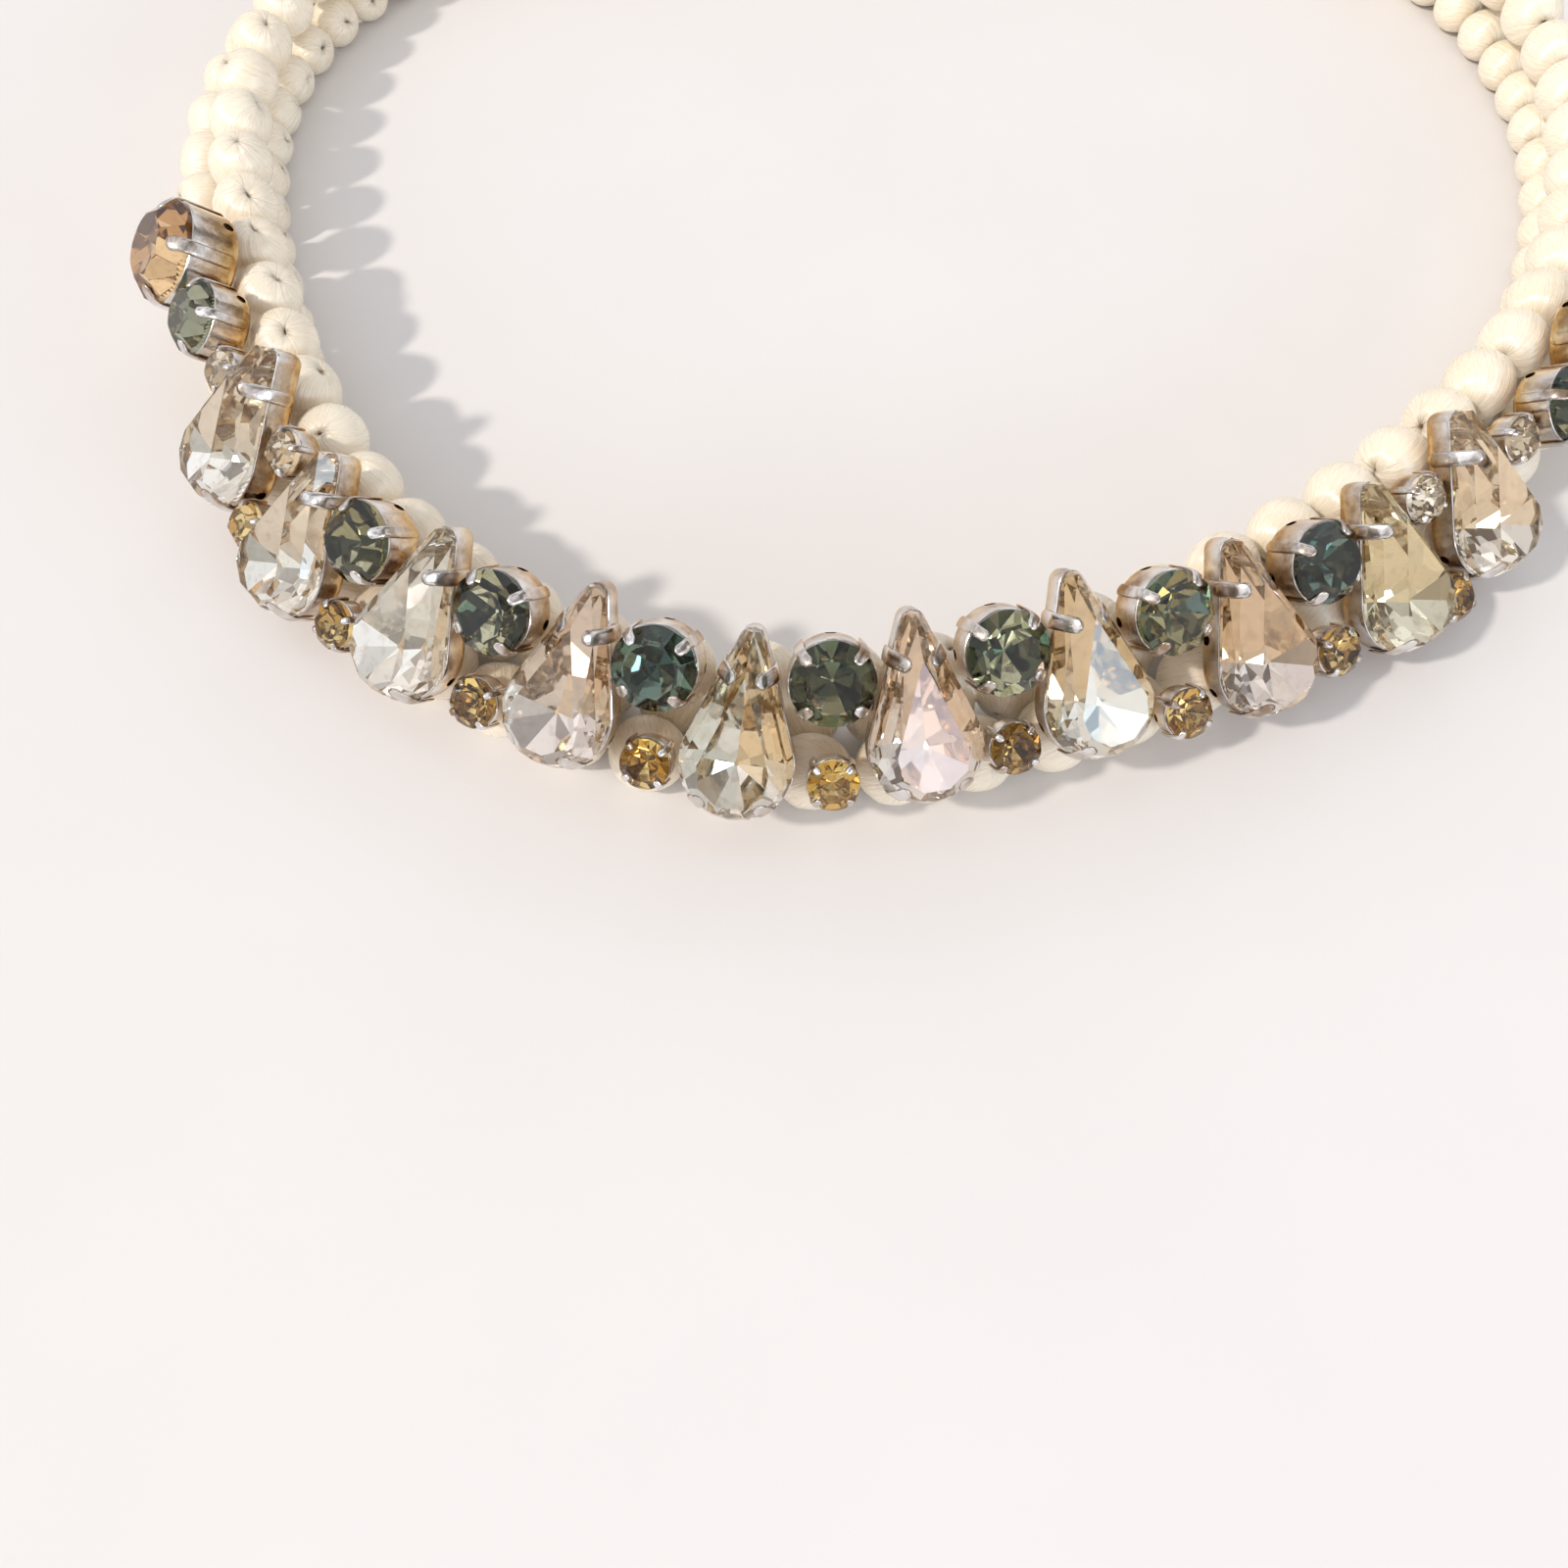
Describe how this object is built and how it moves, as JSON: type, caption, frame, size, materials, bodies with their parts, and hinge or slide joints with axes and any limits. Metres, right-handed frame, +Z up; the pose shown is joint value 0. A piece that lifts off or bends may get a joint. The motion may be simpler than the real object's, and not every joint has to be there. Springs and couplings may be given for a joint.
{
  "type": "choker necklace",
  "caption": "Choker necklace of thread-wrapped cream beads in bundled strands, with a front field of claw-set pear and round crystals, lying closed on a surface.",
  "frame": {"origin": "on the surface the necklace lies on, under the middle of its box", "axes": "+Z up from the surface, -Y towards the front field of crystals, +Y towards the clasp"},
  "size_m": [0.1376, 0.1388, 0.016],
  "materials": {
    "thread": "cream silk thread wrapped round beads, satin sheen",
    "silver": "polished silver-tone metal",
    "pear_crystal": "clear champagne crystal, foiled back",
    "grey_crystal": "smoke-grey crystal, foiled back",
    "end_crystal": "peach crystal, foiled back",
    "small_crystal": "golden and clear crystal, foiled back"
  },
  "bodies": {
    "root": {"clasp": "silver", "end_setting_01": "silver", "end_setting_02": "silver", "end_stone_01": "end_crystal", "end_stone_02": "end_crystal", "grey_setting_01": "silver", "grey_setting_02": "silver", "grey_setting_03": "silver", "grey_setting_04": "silver", "grey_setting_05": "silver", "grey_setting_06": "silver", "grey_setting_07": "silver", "grey_setting_08": "silver", "grey_setting_09": "silver", "grey_stone_01": "grey_crystal", "grey_stone_02": "grey_crystal", "grey_stone_03": "grey_crystal", "grey_stone_04": "grey_crystal", "grey_stone_05": "grey_crystal", "grey_stone_06": "grey_crystal", "grey_stone_07": "grey_crystal", "grey_stone_08": "grey_crystal", "grey_stone_09": "grey_crystal", "pear_setting_01": "silver", "pear_setting_02": "silver", "pear_setting_03": "silver", "pear_setting_04": "silver", "pear_setting_05": "silver", "pear_setting_06": "silver", "pear_setting_07": "silver", "pear_setting_08": "silver", "pear_setting_09": "silver", "pear_setting_10": "silver", "pear_stone_01": "pear_crystal", "pear_stone_02": "pear_crystal", "pear_stone_03": "pear_crystal", "pear_stone_04": "pear_crystal", "pear_stone_05": "pear_crystal", "pear_stone_06": "pear_crystal", "pear_stone_07": "pear_crystal", "pear_stone_08": "pear_crystal", "pear_stone_09": "pear_crystal", "pear_stone_10": "pear_crystal", "small_stone_01": "small_crystal", "small_stone_02": "small_crystal", "small_stone_03": "small_crystal", "small_stone_04": "small_crystal", "small_stone_05": "small_crystal", "small_stone_06": "small_crystal", "small_stone_07": "small_crystal", "small_stone_08": "small_crystal", "small_stone_09": "small_crystal", "small_stone_10": "small_crystal", "small_stone_11": "small_crystal", "small_stone_12": "small_crystal", "small_stone_13": "small_crystal", "strand_inner": "thread", "strand_outer": "thread", "strand_top": "thread"}
  },
  "joints": []
}
